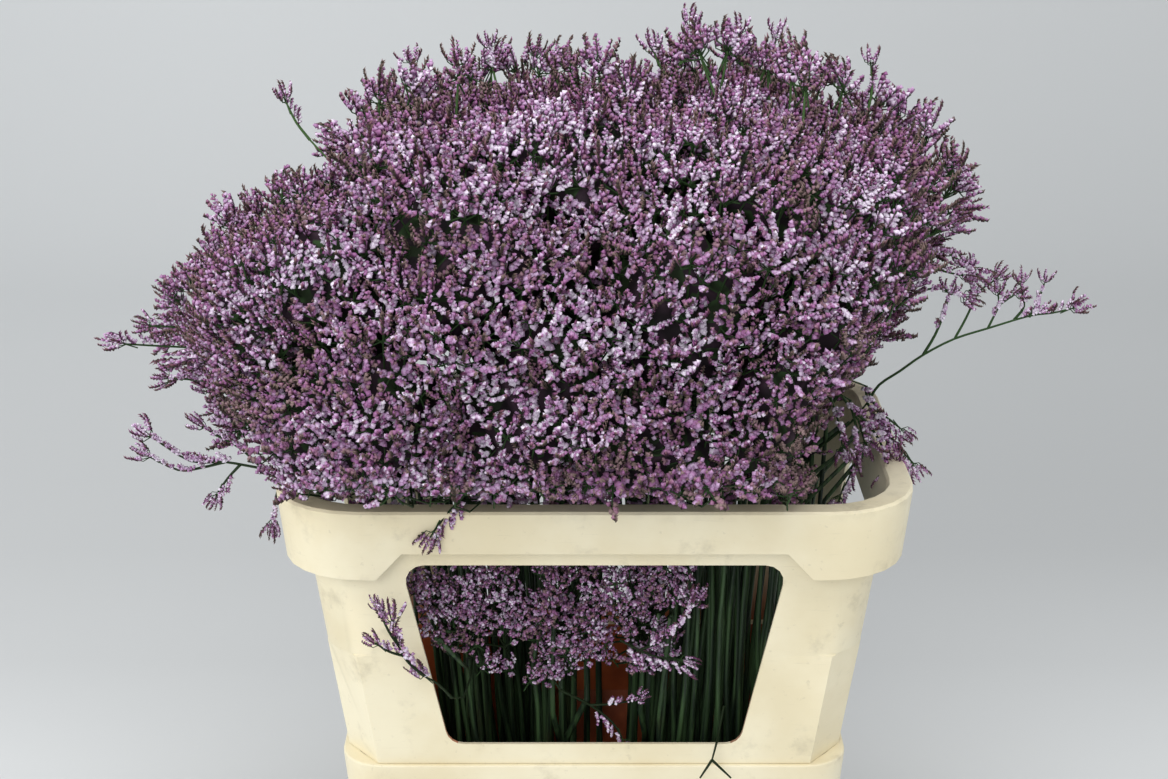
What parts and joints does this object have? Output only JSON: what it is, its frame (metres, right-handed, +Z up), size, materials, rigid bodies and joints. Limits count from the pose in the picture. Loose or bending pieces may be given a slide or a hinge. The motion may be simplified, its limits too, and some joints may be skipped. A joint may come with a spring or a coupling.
{
  "type": "trade container of cut statice",
  "caption": "Two-piece flower-trade container, a bucket with a windowed collar, holding tall stems of branching statice sprays.",
  "frame": {"origin": "middle of the bucket's underside, on the surface that it stands on", "axes": "+Z up; -Y towards the side that the picture shows; +X to that side's right"},
  "size_m": [0.7397, 0.5043, 0.816],
  "materials": {
    "cream_plastic": "satin cream polypropylene, scuffed, with grey dirt on the rim",
    "stalk": "dark green ribbed stalks, matt",
    "flowers": "papery lilac and mauve florets, matt"
  },
  "bodies": {
    "root": {"bucket": "cream_plastic", "collar": "cream_plastic", "stalk_01": "stalk", "stalk_02": "stalk", "stalk_03": "stalk", "stalk_04": "stalk", "stalk_05": "stalk", "stalk_06": "stalk", "stalk_07": "stalk", "stalk_08": "stalk", "stalk_09": "stalk", "stalk_10": "stalk", "stalk_11": "stalk", "stalk_12": "stalk", "stalk_13": "stalk", "stalk_14": "stalk", "stalk_15": "stalk", "stalk_16": "stalk", "stalk_17": "stalk", "stalk_18": "stalk", "stalk_19": "stalk", "stalk_20": "stalk", "stalk_21": "stalk", "stalk_22": "stalk", "stalk_23": "stalk", "stalk_24": "stalk", "stalk_25": "stalk", "stalk_26": "stalk", "stalk_27": "stalk", "stalk_28": "stalk", "stalk_29": "stalk", "spray_01": "flowers", "spray_02": "flowers", "spray_03": "flowers", "spray_04": "flowers", "spray_05": "flowers", "spray_06": "flowers", "spray_07": "flowers", "spray_08": "flowers", "spray_09": "flowers", "spray_10": "flowers", "spray_11": "flowers", "spray_12": "flowers", "spray_13": "flowers", "spray_14": "flowers", "spray_15": "flowers", "spray_16": "flowers", "spray_17": "flowers", "spray_18": "flowers", "spray_19": "flowers", "spray_20": "flowers", "spray_21": "flowers", "spray_22": "flowers", "spray_23": "flowers", "spray_24": "flowers", "spray_25": "flowers", "spray_26": "flowers", "spray_27": "flowers", "spray_28": "flowers", "spray_29": "flowers"}
  },
  "joints": []
}
